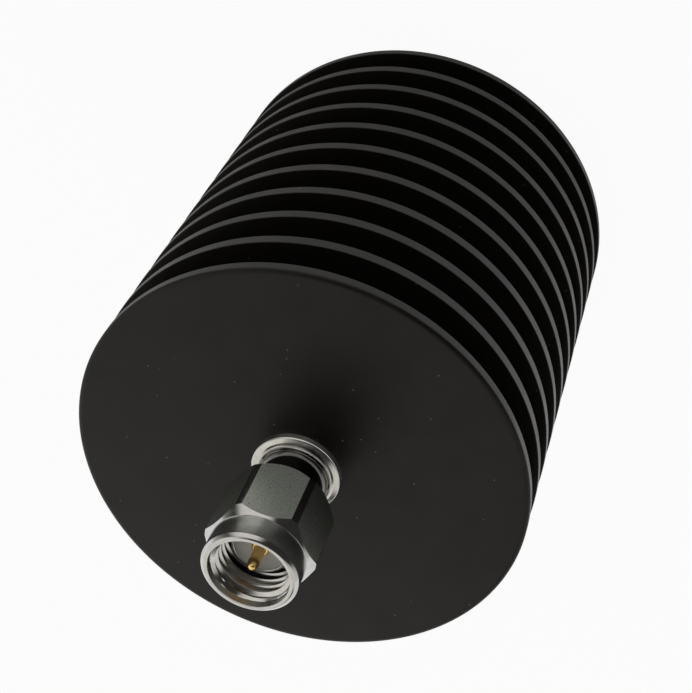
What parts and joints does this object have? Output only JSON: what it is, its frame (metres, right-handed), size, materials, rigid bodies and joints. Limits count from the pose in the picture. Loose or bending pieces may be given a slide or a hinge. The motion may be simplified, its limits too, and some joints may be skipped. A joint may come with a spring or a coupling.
{
  "type": "rf dummy load",
  "caption": "Finned round heat sink with a coaxial plug on its axis: a radio-frequency load that turns a transmitter's power into heat, with a free-spinning hexagonal coupling nut.",
  "frame": {"origin": "centre of the back plate's outer face, on the axis", "axes": "+Z along the axis, from the back plate towards the coaxial plug; at rest a corner of the nut's hexagon lies on +X"},
  "size_m": [0.038, 0.038, 0.0535],
  "materials": {
    "anodised_black": "black anodised, satin",
    "stainless": "passivated, turned, satin flats",
    "spring_steel": "spring temper",
    "ptfe": "waxy white",
    "gold_plate": "gold plated",
    "resistor_ceramic": "matt ceramic with resistive film",
    "tinned_cap": "tinned",
    "bare_brass": "turned",
    "bare_copper": "turned"
  },
  "bodies": {
    "load": {"heat_sink": "anodised_black", "connector_body": "stainless", "retaining_ring": "spring_steel", "front_insulator": "ptfe", "rear_insulator": "ptfe", "centre_contact": "gold_plate", "resistor_rod": "resistor_ceramic", "resistor_front_cap": "tinned_cap", "resistor_rear_cap": "tinned_cap", "taper_sleeve": "bare_brass", "ground_plug": "bare_copper"},
    "nut": {"coupling_nut": "stainless"}
  },
  "joints": [
    {"name": "nut_spin", "type": "hinge", "parent": "load", "child": "nut", "pos_m": [0, 0, 0.045], "axis": [0, 0, 1], "continuous": true}
  ]
}
